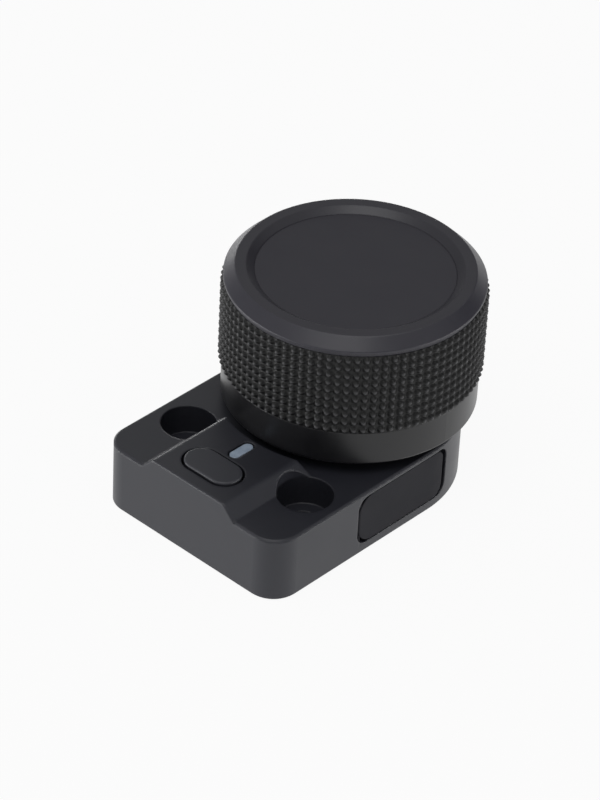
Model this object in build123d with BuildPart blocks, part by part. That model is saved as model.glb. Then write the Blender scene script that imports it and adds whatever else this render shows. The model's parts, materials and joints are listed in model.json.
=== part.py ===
"""Focus demand: a hand wheel on a small housing that bolts to a camera support.

Frame: the wheel turns about Z, the housing stands on Z = 0, its front face looks
along -Y and its cable port along +X. All lengths are in millimetres.
"""

import os
from math import cos, pi, sin, sqrt

from build123d import *

os.makedirs("parts", exist_ok=True)

# Gaps between pieces, and the extra length of every cut
cut_overrun = 1.0
slip_gap = 0.05
thread_gap = 0.03
running_gap = 0.06
board_edge_gap = 0.4
cover_edge_gap = 0.1

# Base housing
rear_arc_setback = 1.0
front_corner_radius = 4.5
deck_thickness = 2.0
side_wall = 1.8
edge_bevel = 0.35

# Raised middle of the deck, which carries the button and the status light
plateau_rise = 2.1
plateau_bolt_gap = 0.45
plateau_knob_gap = 1.0
plateau_side_radius = 1.0
plateau_edge_radius = 0.3
plateau_wall = 2.0

# Two mounting screws, in deep counterbores
bolt_spacing = 24.0
bolt_side_margin = 6.0
bolt_knob_gap = 1.5
bolt_hole_radius = 2.25
counterbore_radius = 4.25
counterbore_depth = 4.9
column_wall = 1.2

# Bottom cover and its four countersunk screws
cover_thickness = 1.3
cover_screw_inset = 4.6
cover_screw_rear_inset = 3.7
cover_screw_rear_angle = 45.0
cover_boss_radius = 2.3
cover_screw_length = 5.0
countersunk_head_height = 0.95

# Small screws, all of one size
screw_radius = 1.0
screw_head_radius = 1.9
screw_head_height = 1.2
screw_socket_width = 1.5
screw_socket_depth = 0.7
socket_sides = 6

# Circuit board, seated under three posts
board_lift = 2.1
board_thickness = 1.0
board_post_radius = 2.4
board_post_inset = 6.5
board_post_back = 1.0
board_post_light_gap = 0.2
board_screw_length = 4.2
chip_height = 0.9
encoder_chip_width = 3.0
processor_width = 5.0
processor_left = 8.0
processor_contact_step = 4.6
chip_corner_radius = 0.3

# Cable port: pocket, rubber cover and socket
port_setback = 7.0
port_length = 19.7
port_bottom = 1.7
port_top_margin = 0.7
port_corner_radius = 2.0
port_pocket_depth = 1.6
port_wall = 1.9
flap_gap = 0.15
flap_front_gap = 0.3
flap_nail_gap = 0.9
flap_thickness = 1.4
flap_sink = 0.05
flap_hinge_corner_radius = 2.9
hinge_depth = 0.35
trunnion_radius = 0.22
trunnion_reach = 0.25
plug_width = 7.4
plug_height = 2.0
plug_depth = 1.0
usb_width = 8.94
usb_height = 3.26
usb_depth = 7.3
usb_metal = 0.3
usb_window_gap = 0.15
usb_ceiling_gap = 1.34
tongue_width = 6.7
tongue_thickness = 0.7
tongue_edge_radius = 0.25
tongue_recess = 1.3

# Button and its switch
button_front_margin = 2.65
button_light_gap = 1.15
button_length = 9.9
button_width = 5.3
button_gap = 0.4
button_proud = 0.35
button_edge_radius = 0.3
button_ear = 0.8
button_flange_thickness = 0.8
button_pocket_gap = 0.5
button_ceiling_gap = 0.1
switch_width = 6.0
switch_height = 3.5
plunger_radius = 1.75
plunger_depth = 1.2
switch_floor_gap = 0.6

# Status light
light_back_margin = 0.7
light_length = 4.3
light_width = 1.6
light_gap = 0.25
light_sink = 0.12
light_flange = 0.5
light_flange_thickness = 0.8
led_length = 1.6
led_width = 0.8
led_height = 0.6
led_air_gap = 0.3

# Contact block in the underside
contact_screw_gap = 0.8
contact_block_length = 11.0
contact_block_width = 5.4
contact_recess = 0.3
contact_pitch = 2.3
contact_columns = 4
contact_rows = 2
contact_pad_length = 1.7
contact_pad_thickness = 0.4
contact_window_gap = 0.15

# Hand wheel, outside
knob_lift = 2.0
skirt_radius = 19.4
skirt_height = 5.7
skirt_edge_radius = 0.3
grip_stand = 0.6
nub_height = 0.65
nub_pitch = 1.38
nub_rows = 10
nub_columns = 90
nub_tip_share = 0.5
grip_wall = 1.1
neck_height = 0.5
lip_stand = 0.2
lip_height = 0.4
lip_edge_radius = 0.12
rim_chamfer = 1.7
rim_flat_width = 1.65
rim_edge_radius = 0.25
recess_depth = 0.9
recess_slope = 1.3
plate_thickness = 1.0
plate_ledge = 1.1

# Hand wheel, inside
sleeve_wall = 1.6
web_thickness = 2.0
bezel_flange_thickness = 1.4
bezel_hub_gap = 0.5
bezel_screw_count = 3
bezel_screw_length = 3.2
screw_head_room = 0.9
hub_radius = 6.0
hub_drop = 0.4
hub_rise = 0.6
knob_screw_radius = 1.5
knob_screw_head_radius = 2.75
knob_screw_head_height = 1.6
knob_screw_socket_width = 2.0
knob_screw_socket_depth = 0.9
knob_screw_length = 6.0

# Spindle, clip, magnet and its holder
spindle_flat_depth = 0.5
spindle_collar_radius = 3.85
spindle_collar_height = 1.0
spindle_top_gap = 0.3
clip_thickness = 0.6
clip_groove_depth = 0.5
clip_stand = 1.35
clip_mouth_width = 3.0
spindle_tail = 0.4
washer_height = 0.5
washer_thickness = 0.2
washer_width = 0.95
holder_radius = 3.4
holder_socket_depth = 1.3
holder_floor = 0.3
stub_radius = 1.6
magnet_radius = 2.5
magnet_thickness = 1.5
magnet_air_gap = 0.6

# Two ball bearings and the carrier that holds them
bearing_outer_radius = 6.0
bearing_bore_share = 0.5
bearing_width = 4.0
ball_share = 2 / 3
ball_count = 8
race_bevel = 0.2
carrier_flange_margin = 3.05
carrier_flange_thickness = 1.3
carrier_wall = 2.2
carrier_lip = 0.4
carrier_shoulder = 1.1
spigot_wall = 1.0
carrier_screw_count = 3
carrier_screw_length = 3.0

# Places and heights worked out from the sizes above
half_width = bolt_spacing / 2 + bolt_side_margin
light_setback = skirt_radius + plateau_knob_gap + light_back_margin + light_length / 2
button_setback = light_setback + light_length / 2 + button_light_gap + button_width / 2
front_reach = button_setback + button_width / 2 + button_front_margin
board_bottom = cover_thickness + board_lift
board_top = board_bottom + board_thickness
ceiling = board_top + usb_height + usb_ceiling_gap
deck_height = ceiling + deck_thickness
plateau_top = deck_height + plateau_rise
plateau_ceiling = plateau_top - plateau_wall
column_radius = counterbore_radius + column_wall
plateau_top_width = bolt_spacing - 2 * (counterbore_radius + plateau_bolt_gap)
bolt_reach = skirt_radius + bolt_knob_gap + counterbore_radius
bolt_setback = sqrt(bolt_reach**2 - (bolt_spacing / 2) ** 2)
bolt_places = [(-bolt_spacing / 2, -bolt_setback), (bolt_spacing / 2, -bolt_setback)]

skirt_bottom = deck_height + knob_lift
grip_bottom = skirt_bottom + skirt_height
grip_top = grip_bottom + nub_rows * nub_pitch
grip_tip_radius = skirt_radius + grip_stand
grip_root_radius = grip_tip_radius - nub_height
sleeve_radius = grip_root_radius - grip_wall
knob_bore_radius = sleeve_radius - sleeve_wall
lip_radius = skirt_radius + lip_stand
lip_bottom = grip_top + neck_height
chamfer_bottom = lip_bottom + lip_height
rim_top = chamfer_bottom + rim_chamfer
rim_flat_radius = lip_radius - rim_chamfer
recess_radius = rim_flat_radius - rim_flat_width
plate_radius = recess_radius - recess_slope
plate_top = rim_top - recess_depth
plate_bottom = plate_top - plate_thickness
bezel_bore_radius = plate_radius - plate_ledge
bezel_flange_inner_radius = hub_radius + bezel_hub_gap
bezel_screw_circle_radius = (bezel_flange_inner_radius + bezel_bore_radius) / 2
flange_top = plate_bottom - screw_head_height - screw_head_room
web_top = flange_top - bezel_flange_thickness
web_bottom = web_top - web_thickness
hub_bottom = web_bottom - hub_drop
hub_top = web_top + hub_rise

magnet_bottom = board_top + chip_height + magnet_air_gap
magnet_top = magnet_bottom + magnet_thickness
holder_top = magnet_top + holder_floor + holder_socket_depth
clip_bottom = holder_top + spindle_tail
washer_bottom = clip_bottom + clip_thickness
lower_bearing_bottom = washer_bottom + washer_height
lower_bearing_top = lower_bearing_bottom + bearing_width
upper_bearing_top = hub_bottom - spindle_collar_height
upper_bearing_bottom = upper_bearing_top - bearing_width
bearing_bore_radius = bearing_outer_radius * bearing_bore_share
spindle_radius = bearing_bore_radius - slip_gap
clip_radius = spindle_radius + clip_stand
washer_radius = spindle_radius + washer_width
ball_circle_radius = (bearing_bore_radius + bearing_outer_radius) / 2
ball_radius = (bearing_outer_radius - bearing_bore_radius) / 2 * ball_share
race_half_gap = ball_radius / 2
carrier_bore_radius = bearing_outer_radius + slip_gap
tower_radius = carrier_bore_radius + carrier_wall
spigot_radius = carrier_bore_radius + spigot_wall
carrier_screw_circle_radius = (tower_radius + knob_bore_radius) / 2
carrier_flange_radius = carrier_screw_circle_radius + carrier_flange_margin
carrier_top = upper_bearing_top + carrier_lip
flange_height = deck_height + carrier_flange_thickness

port_floor = half_width - port_pocket_depth
port_height = deck_height - port_bottom - port_top_margin
port_middle = port_bottom + port_height / 2
usb_middle = board_top + usb_height / 2
usb_back = port_floor - usb_depth
flap_height = port_height - 2 * flap_gap
flap_front = -port_setback - port_length / 2 + flap_front_gap
flap_rear = -port_setback + port_length / 2 - flap_nail_gap
flap_face = half_width - flap_sink
flap_back = flap_face - flap_thickness
hinge_x = flap_face - hinge_depth
hinge_y = flap_front + hinge_depth
trunnion_bottom = port_bottom - trunnion_reach
trunnion_length = port_height + 2 * trunnion_reach

button_top = plateau_top + button_proud
button_flange_top = plateau_ceiling - button_ceiling_gap
button_flange_bottom = button_flange_top - button_flange_thickness
button_flange_length = button_length + 2 * button_ear
switch_top = board_top + switch_height
light_bottom = board_top + led_height + led_air_gap
light_top = plateau_top - light_sink
light_flange_bottom = ceiling - light_flange_thickness

light_flange_front = light_setback - light_length / 2 - light_flange
board_post_front = light_flange_front - board_post_light_gap - board_post_radius
contact_setback = board_post_front - screw_head_radius - contact_screw_gap - contact_block_width / 2
processor_setback = contact_setback - processor_contact_step
board_posts = [
    (-half_width + board_post_inset, board_post_back),
    (half_width - board_post_inset, board_post_back),
    (0, -board_post_front),
]
cover_front_x = half_width - cover_screw_inset
cover_front_y = -front_reach + cover_screw_inset
cover_rear_radius = half_width - cover_screw_rear_inset
cover_rear_x = cover_rear_radius * sin(cover_screw_rear_angle * pi / 180)
cover_rear_y = cover_rear_radius * cos(cover_screw_rear_angle * pi / 180) - rear_arc_setback
cover_screw_places = [
    (-cover_front_x, cover_front_y),
    (cover_front_x, cover_front_y),
    (-cover_rear_x, cover_rear_y),
    (cover_rear_x, cover_rear_y),
]

tongue_half_width = bolt_spacing / 2 - column_radius - board_edge_gap
board_shoulder = bolt_setback - column_radius - board_edge_gap

UPWARD = (Align.CENTER, Align.CENTER, Align.MIN)


def write_piece(builder, name):
    """Label a finished piece and write it as its own file."""
    builder.part.label = name
    export_step(builder.part, f"parts/{name}.step")


def at_height(places, height):
    """Points at one height over a list of places in plan."""
    return [(x, y, height) for x, y in places]


def circle_places(radius, count):
    """Places spread evenly on a circle round the wheel's axis, the first one towards +Y."""
    angles = [pi / 2 + 2 * pi * index / count for index in range(count)]
    return [(radius * cos(angle), radius * sin(angle)) for angle in angles]


carrier_screw_places = circle_places(carrier_screw_circle_radius, carrier_screw_count)
bezel_screw_places = circle_places(bezel_screw_circle_radius, bezel_screw_count)

# Outlines in plan that several pieces share
with BuildSketch() as base_outline:
    with BuildLine():
        Polyline(
            (-half_width, -rear_arc_setback),
            (-half_width, -front_reach),
            (half_width, -front_reach),
            (half_width, -rear_arc_setback),
        )
        CenterArc((0, -rear_arc_setback), half_width, 0, 180)
    make_face()
    fillet(base_outline.vertices().group_by(Axis.Y)[0], radius=front_corner_radius)

with BuildSketch() as cavity_outline:
    add(base_outline.sketch)
    offset(amount=-side_wall)

with BuildSketch() as port_wall_outline:
    with Locations((port_floor - port_wall, -port_setback)):
        Rectangle(
            port_wall + port_pocket_depth,
            port_length + 2 * port_wall,
            align=(Align.MIN, Align.CENTER),
        )

# Base housing: a shell open below, with the screw columns, bosses and posts left standing
with BuildPart() as base_housing:
    with BuildSketch():
        add(base_outline.sketch)
    extrude(amount=deck_height)
    chamfer(base_housing.faces().sort_by(Axis.Z)[-1].edges(), length=edge_bevel)
    chamfer(base_housing.faces().sort_by(Axis.Z)[0].edges(), length=edge_bevel)

    # Plateau: a strip with sloped sides, cut back round the wheel's skirt
    with BuildSketch(Plane.XZ.offset(front_reach)) as plateau_profile:
        with BuildLine():
            Polyline(
                (-plateau_top_width / 2, plateau_top),
                (plateau_top_width / 2, plateau_top),
                (plateau_top_width / 2 + plateau_rise, deck_height),
                (plateau_top_width / 2 + plateau_rise, deck_height - edge_bevel),
                (-plateau_top_width / 2 - plateau_rise, deck_height - edge_bevel),
                (-plateau_top_width / 2 - plateau_rise, deck_height),
                close=True,
            )
        make_face()
        fillet(plateau_profile.vertices().group_by(Axis.Y)[-1], radius=plateau_side_radius)
    extrude(amount=-front_reach)
    with BuildSketch(Plane.XY.offset(deck_height)):
        Circle(skirt_radius + plateau_knob_gap)
    extrude(amount=plateau_rise + cut_overrun, mode=Mode.SUBTRACT)
    plateau_front = base_housing.faces().sort_by(Axis.Z)[-1].edges().group_by(Axis.Y)[0]
    fillet(plateau_front, radius=plateau_edge_radius)

    # Hollow, in three levels: cover seat, space under the board, space over the board
    with BuildSketch():
        add(cavity_outline.sketch)
        with Locations(*bolt_places):
            Circle(column_radius, mode=Mode.SUBTRACT)
    extrude(amount=cover_thickness, mode=Mode.SUBTRACT)
    with BuildSketch(Plane.XY.offset(cover_thickness)):
        add(cavity_outline.sketch)
        add(port_wall_outline.sketch, mode=Mode.SUBTRACT)
        with Locations(*bolt_places):
            Circle(column_radius, mode=Mode.SUBTRACT)
        with Locations(*cover_screw_places):
            Circle(cover_boss_radius, mode=Mode.SUBTRACT)
    extrude(amount=board_top - cover_thickness, mode=Mode.SUBTRACT)
    with BuildSketch(Plane.XY.offset(board_top)):
        add(cavity_outline.sketch)
        add(port_wall_outline.sketch, mode=Mode.SUBTRACT)
        with Locations(*bolt_places):
            Circle(column_radius, mode=Mode.SUBTRACT)
        with Locations(*cover_screw_places):
            Circle(cover_boss_radius, mode=Mode.SUBTRACT)
        with Locations(*board_posts):
            Circle(board_post_radius, mode=Mode.SUBTRACT)
    extrude(amount=ceiling - board_top, mode=Mode.SUBTRACT)

    # Hollow of the plateau under the button, then the button's and the light's openings
    with BuildSketch(Plane.XY.offset(ceiling)):
        with Locations((0, -button_setback)):
            Rectangle(
                button_flange_length + 2 * button_pocket_gap,
                button_width + 2 * button_pocket_gap,
            )
    extrude(amount=plateau_ceiling - ceiling, mode=Mode.SUBTRACT)
    with BuildSketch(Plane.XY.offset(ceiling)):
        with Locations((0, -button_setback)):
            SlotOverall(button_length + 2 * button_gap, button_width + 2 * button_gap)
        with Locations((0, -light_setback)):
            SlotOverall(light_length + 2 * light_gap, light_width + 2 * light_gap, rotation=90)
    extrude(amount=plateau_top - ceiling + cut_overrun, mode=Mode.SUBTRACT)

    # Mounting screw counterbores and the opening for the bearing carrier
    with Locations(*at_height(bolt_places, deck_height)):
        CounterBoreHole(
            radius=bolt_hole_radius,
            counter_bore_radius=counterbore_radius,
            counter_bore_depth=counterbore_depth,
        )
    with BuildSketch(Plane.XY.offset(ceiling)):
        Circle(spigot_radius + slip_gap)
        with Locations(*carrier_screw_places):
            Circle(screw_radius + thread_gap)
    extrude(amount=deck_thickness, mode=Mode.SUBTRACT)

    # Threaded holes of the cover screws and the board screws
    with Locations(*at_height(cover_screw_places, cover_thickness)):
        Cylinder(screw_radius + thread_gap, cover_screw_length, align=UPWARD, mode=Mode.SUBTRACT)
    with Locations(*at_height(board_posts, board_top)):
        Cylinder(screw_radius + thread_gap, board_screw_length, align=UPWARD, mode=Mode.SUBTRACT)

    # Cable port: pocket for the rubber cover, window for the socket, holes for the trunnions
    with BuildSketch(Plane.YZ.offset(port_floor)):
        with Locations((-port_setback, port_middle)):
            RectangleRounded(port_length, port_height, port_corner_radius)
    extrude(amount=port_pocket_depth + cut_overrun, mode=Mode.SUBTRACT)
    with BuildSketch(Plane.YZ.offset(port_floor - port_wall - cut_overrun)):
        with Locations((-port_setback, usb_middle)):
            SlotOverall(usb_width + 2 * usb_window_gap, usb_height + 2 * usb_window_gap)
    extrude(amount=port_wall + 2 * cut_overrun, mode=Mode.SUBTRACT)
    with Locations((hinge_x, hinge_y, trunnion_bottom - running_gap)):
        Cylinder(
            trunnion_radius + running_gap,
            trunnion_length + 2 * running_gap,
            align=UPWARD,
            mode=Mode.SUBTRACT,
        )
write_piece(base_housing, "base_housing")

# Bottom cover: a plate let into the underside, with a window for the contacts
with BuildPart() as bottom_cover:
    with BuildSketch():
        add(cavity_outline.sketch)
        offset(amount=-cover_edge_gap)
        with Locations(*bolt_places):
            Circle(column_radius + cover_edge_gap, mode=Mode.SUBTRACT)
        with Locations((0, -contact_setback)):
            RectangleRounded(
                contact_block_length + 2 * contact_window_gap,
                contact_block_width + 2 * contact_window_gap,
                chip_corner_radius + contact_window_gap,
                mode=Mode.SUBTRACT,
            )
    extrude(amount=cover_thickness)
    with Locations(*at_height(cover_screw_places, 0)):
        Cone(
            screw_head_radius + slip_gap,
            screw_radius + slip_gap,
            countersunk_head_height,
            align=UPWARD,
            mode=Mode.SUBTRACT,
        )
        Cylinder(screw_radius + slip_gap, cover_thickness, align=UPWARD, mode=Mode.SUBTRACT)
write_piece(bottom_cover, "bottom_cover")

# Countersunk screws of the bottom cover
with BuildPart() as cover_screws:
    with Locations(*at_height(cover_screw_places, 0)):
        Cone(screw_head_radius, screw_radius, countersunk_head_height, align=UPWARD)
        Cylinder(screw_radius, cover_screw_length, align=UPWARD)
    with BuildSketch():
        with Locations(*cover_screw_places):
            RegularPolygon(screw_socket_width / 2, socket_sides, major_radius=False)
    extrude(amount=screw_socket_depth, mode=Mode.SUBTRACT)
write_piece(cover_screws, "cover_screws")


def cap_screws(name, places, seat, head_side, length, radius, head_radius, head_height, socket):
    """Round-headed screws; head_side is 1 for heads above their seat and -1 below it."""
    socket_width, socket_depth = socket
    with BuildPart() as screws:
        for x, y in places:
            seat_plane = Plane((x, y, seat), z_dir=(0, 0, head_side))
            with BuildSketch(seat_plane):
                Circle(head_radius)
            extrude(amount=head_height)
            with BuildSketch(seat_plane):
                Circle(radius)
            extrude(amount=-length)
            with BuildSketch(seat_plane.offset(head_height)):
                RegularPolygon(socket_width / 2, socket_sides, major_radius=False)
            extrude(amount=-socket_depth, mode=Mode.SUBTRACT)
    write_piece(screws, name)


def small_screws(name, places, seat, head_side, length):
    """Round-headed screws of the one small size used inside."""
    socket = (screw_socket_width, screw_socket_depth)
    cap_screws(
        name, places, seat, head_side, length, screw_radius, screw_head_radius, screw_head_height, socket
    )


# Circuit board: wide under the wheel, a tongue between the screw columns
with BuildPart() as main_board:
    with BuildSketch(Plane.XY.offset(board_bottom)):
        add(cavity_outline.sketch)
        offset(amount=-board_edge_gap)
        for side in (-1, 1):
            with Locations((side * (tongue_half_width + half_width / 2), -board_shoulder)):
                Rectangle(half_width, front_reach, align=(Align.CENTER, Align.MAX), mode=Mode.SUBTRACT)
        with Locations((port_floor - port_wall - board_edge_gap, -port_setback)):
            Rectangle(
                half_width,
                port_length + 2 * port_wall + 2 * board_edge_gap,
                align=(Align.MIN, Align.CENTER),
                mode=Mode.SUBTRACT,
            )
        with Locations(*cover_screw_places):
            Circle(cover_boss_radius + board_edge_gap, mode=Mode.SUBTRACT)
        with Locations(*board_posts):
            Circle(screw_radius + slip_gap, mode=Mode.SUBTRACT)
    extrude(amount=board_thickness)
write_piece(main_board, "main_board")
small_screws("board_screws", board_posts, board_bottom, -1, board_thickness + board_screw_length)


def board_chip(name, place, width):
    """A square chip that lies on the board."""
    with BuildPart() as chip:
        with BuildSketch(Plane.XY.offset(board_top)):
            with Locations(place):
                RectangleRounded(width, width, chip_corner_radius)
        extrude(amount=chip_height)
        chamfer(chip.faces().sort_by(Axis.Z)[-1].edges(), length=chip_corner_radius / 2)
    write_piece(chip, name)


board_chip("encoder_chip", (0, 0), encoder_chip_width)
board_chip("processor_chip", (-processor_left, -processor_setback), processor_width)

# Contact block under the board, with flat pads in its lower face
contact_grid = GridLocations(contact_pitch, contact_pitch, contact_columns, contact_rows)
contact_places = [(spot.position.X, spot.position.Y - contact_setback) for spot in contact_grid]
with BuildPart() as contact_block:
    with BuildSketch(Plane.XY.offset(contact_recess)):
        with Locations((0, -contact_setback)):
            RectangleRounded(contact_block_length, contact_block_width, chip_corner_radius)
    extrude(amount=board_bottom - contact_recess)
    with BuildSketch(Plane.XY.offset(contact_recess)):
        with Locations(*contact_places):
            Rectangle(contact_pad_length + 2 * slip_gap, contact_pad_length + 2 * slip_gap)
    extrude(amount=contact_pad_thickness, mode=Mode.SUBTRACT)
write_piece(contact_block, "contact_block")

with BuildPart() as contact_pads:
    with BuildSketch(Plane.XY.offset(contact_recess)):
        with Locations(*contact_places):
            Rectangle(contact_pad_length, contact_pad_length)
    extrude(amount=contact_pad_thickness)
write_piece(contact_pads, "contact_pads")

# Cable socket: drawn metal shell with a contact tongue inside
with BuildPart() as usb_shell:
    with BuildSketch(Plane.YZ.offset(usb_back)):
        with Locations((-port_setback, usb_middle)):
            SlotOverall(usb_width, usb_height)
    extrude(amount=usb_depth)
    with BuildSketch(Plane.YZ.offset(usb_back + usb_metal)):
        with Locations((-port_setback, usb_middle)):
            SlotOverall(usb_width - 2 * usb_metal, usb_height - 2 * usb_metal)
    extrude(amount=usb_depth, mode=Mode.SUBTRACT)
write_piece(usb_shell, "usb_shell")

with BuildPart() as usb_tongue:
    with BuildSketch(Plane.YZ.offset(usb_back + usb_metal)):
        with Locations((-port_setback, usb_middle)):
            RectangleRounded(tongue_width, tongue_thickness, tongue_edge_radius)
    extrude(amount=usb_depth - usb_metal - tongue_recess)
write_piece(usb_tongue, "usb_tongue")

# Switch on the board: square body with a round plunger
with BuildPart() as switch_body:
    with BuildSketch(Plane.XY.offset(board_top)):
        with Locations((0, -button_setback)):
            RectangleRounded(switch_width, switch_width, chip_corner_radius)
    extrude(amount=switch_height)
    with Locations((0, -button_setback, switch_top - plunger_depth - switch_floor_gap)):
        Cylinder(
            plunger_radius + running_gap,
            plunger_depth + switch_floor_gap + cut_overrun,
            align=UPWARD,
            mode=Mode.SUBTRACT,
        )
write_piece(switch_body, "switch_body")

with BuildPart() as switch_plunger:
    with Locations((0, -button_setback, switch_top - plunger_depth)):
        Cylinder(plunger_radius, button_flange_bottom - switch_top + plunger_depth, align=UPWARD)
write_piece(switch_plunger, "switch_plunger")

# Button: a pill cap held under the plateau by two ears
with BuildPart() as function_button:
    with BuildSketch(Plane.XY.offset(button_flange_bottom)):
        with Locations((0, -button_setback)):
            Rectangle(button_flange_length, button_width)
    extrude(amount=button_flange_thickness)
    with BuildSketch(Plane.XY.offset(button_flange_top)):
        with Locations((0, -button_setback)):
            SlotOverall(button_length, button_width)
    extrude(amount=button_top - button_flange_top)
    fillet(function_button.faces().sort_by(Axis.Z)[-1].edges(), radius=button_edge_radius)
write_piece(function_button, "function_button")

# Status light: an emitter on the board and the clear pipe above it
with BuildPart() as status_led:
    with BuildSketch(Plane.XY.offset(board_top)):
        with Locations((0, -light_setback)):
            Rectangle(led_width, led_length)
    extrude(amount=led_height)
write_piece(status_led, "status_led")

with BuildPart() as light_pipe:
    with BuildSketch(Plane.XY.offset(light_bottom)):
        with Locations((0, -light_setback)):
            SlotOverall(light_length, light_width, rotation=90)
    extrude(amount=light_top - light_bottom)
    with BuildSketch(Plane.XY.offset(light_flange_bottom)):
        with Locations((0, -light_setback)):
            SlotOverall(light_length + 2 * light_flange, light_width + 2 * light_flange, rotation=90)
    extrude(amount=light_flange_thickness)
write_piece(light_pipe, "light_pipe")

# Rubber port cover: its outline has wider corners at the hinge, which swing clear of the pocket
with BuildPart() as port_cover:
    with BuildSketch(Plane.YZ.offset(flap_back)) as flap_outline:
        with Locations((flap_front, port_middle)):
            Rectangle(flap_rear - flap_front, flap_height, align=(Align.MIN, Align.CENTER))
        fillet(flap_outline.vertices().group_by(Axis.X)[0], radius=flap_hinge_corner_radius)
        fillet(flap_outline.vertices().group_by(Axis.X)[-1], radius=port_corner_radius - flap_gap)
    extrude(amount=flap_thickness)
    with BuildSketch() as flap_plan:
        with Locations((flap_face, flap_front)):
            Rectangle(flap_thickness, flap_rear - flap_front, align=(Align.MAX, Align.MIN))
        fillet(flap_plan.vertices().group_by(Axis.Y)[0].sort_by(Axis.X)[-1], radius=hinge_depth)
        offset(base_outline.sketch, amount=-flap_sink, mode=Mode.INTERSECT)
    extrude(amount=deck_height, mode=Mode.INTERSECT)
    with Locations((hinge_x, hinge_y, trunnion_bottom)):
        Cylinder(trunnion_radius, trunnion_length, align=UPWARD)
    with BuildSketch(Plane.YZ.offset(flap_back)):
        with Locations((-port_setback, usb_middle)):
            SlotOverall(plug_width, plug_height)
    extrude(amount=-plug_depth)
write_piece(port_cover, "port_cover")

# Bearing carrier: flange on the deck, spigot through it, tower up inside the wheel
with BuildPart() as bearing_carrier:
    with BuildSketch(Plane.XZ):
        with BuildLine():
            Polyline(
                (spigot_radius, ceiling),
                (spigot_radius, deck_height),
                (carrier_flange_radius, deck_height),
                (carrier_flange_radius, flange_height),
                (tower_radius, flange_height),
                (tower_radius, carrier_top),
                (carrier_bore_radius, carrier_top),
                (carrier_bore_radius, upper_bearing_bottom),
                (carrier_bore_radius - carrier_shoulder, upper_bearing_bottom),
                (carrier_bore_radius - carrier_shoulder, lower_bearing_top),
                (carrier_bore_radius, lower_bearing_top),
                (carrier_bore_radius, ceiling),
                close=True,
            )
        make_face()
    revolve(axis=Axis.Z)
    with BuildSketch(Plane.XY.offset(deck_height)):
        with Locations(*carrier_screw_places):
            Circle(screw_radius + slip_gap)
    extrude(amount=carrier_flange_thickness, mode=Mode.SUBTRACT)
write_piece(bearing_carrier, "bearing_carrier")
small_screws("carrier_screws", carrier_screw_places, flange_height, 1, carrier_screw_length)


def bearing_race(name, bottom, inner_radius, outer_radius):
    """One race of a ball bearing, with the balls' groove."""
    with BuildPart() as race:
        with BuildSketch(Plane.XY.offset(bottom)):
            Circle(outer_radius)
            Circle(inner_radius, mode=Mode.SUBTRACT)
        extrude(amount=bearing_width)
        chamfer(race.edges().filter_by(GeomType.CIRCLE), length=race_bevel)
        with Locations((0, 0, bottom + bearing_width / 2)):
            Torus(ball_circle_radius, ball_radius + slip_gap, mode=Mode.SUBTRACT)
    write_piece(race, name)


for level, bottom in (("upper", upper_bearing_bottom), ("lower", lower_bearing_bottom)):
    bearing_race(f"{level}_inner_race", bottom, bearing_bore_radius, ball_circle_radius - race_half_gap)
    bearing_race(f"{level}_outer_race", bottom, ball_circle_radius + race_half_gap, bearing_outer_radius)
    with BuildPart() as balls:
        with Locations((0, 0, bottom + bearing_width / 2)):
            with PolarLocations(ball_circle_radius, ball_count):
                Sphere(ball_radius)
    write_piece(balls, f"{level}_balls")

# Spindle: collar on the upper bearing, flat for the hub, groove for the clip, stub for the magnet
with BuildPart() as spindle:
    with BuildSketch(Plane.XZ):
        with BuildLine():
            Polyline(
                (0, magnet_top + holder_floor),
                (stub_radius, magnet_top + holder_floor),
                (stub_radius, holder_top),
                (spindle_radius, holder_top),
                (spindle_radius, clip_bottom),
                (spindle_radius - clip_groove_depth, clip_bottom),
                (spindle_radius - clip_groove_depth, washer_bottom),
                (spindle_radius, washer_bottom),
                (spindle_radius, upper_bearing_top),
                (spindle_collar_radius, upper_bearing_top),
                (spindle_collar_radius, hub_bottom),
                (spindle_radius, hub_bottom),
                (spindle_radius, hub_top - spindle_top_gap),
                (0, hub_top - spindle_top_gap),
                close=True,
            )
        make_face()
    revolve(axis=Axis.Z)
    with BuildSketch(Plane.XY.offset(hub_bottom)):
        with Locations((spindle_radius - spindle_flat_depth, 0)):
            Rectangle(spindle_radius, 2 * spindle_radius, align=(Align.MIN, Align.CENTER))
    extrude(amount=hub_top - hub_bottom, mode=Mode.SUBTRACT)
    with BuildSketch(Plane.XY.offset(hub_top)):
        Circle(knob_screw_radius + thread_gap)
    extrude(amount=-knob_screw_length - slip_gap, mode=Mode.SUBTRACT)
write_piece(spindle, "spindle")

# Cone spring washer that loads the bearings, and the clip that holds it
with BuildPart() as preload_washer:
    with BuildSketch(Plane.XZ):
        with BuildLine():
            Polyline(
                (spindle_radius + slip_gap, washer_bottom),
                (spindle_radius + slip_gap, washer_bottom + washer_thickness),
                (washer_radius, lower_bearing_bottom),
                (washer_radius, lower_bearing_bottom - washer_thickness),
                close=True,
            )
        make_face()
    revolve(axis=Axis.Z)
write_piece(preload_washer, "preload_washer")

with BuildPart() as spindle_clip:
    with BuildSketch(Plane.XY.offset(clip_bottom)):
        Circle(clip_radius)
        Circle(spindle_radius - clip_groove_depth + slip_gap, mode=Mode.SUBTRACT)
        Rectangle(clip_mouth_width, clip_radius, align=(Align.CENTER, Align.MIN), mode=Mode.SUBTRACT)
    extrude(amount=clip_thickness)
write_piece(spindle_clip, "spindle_clip")

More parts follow.
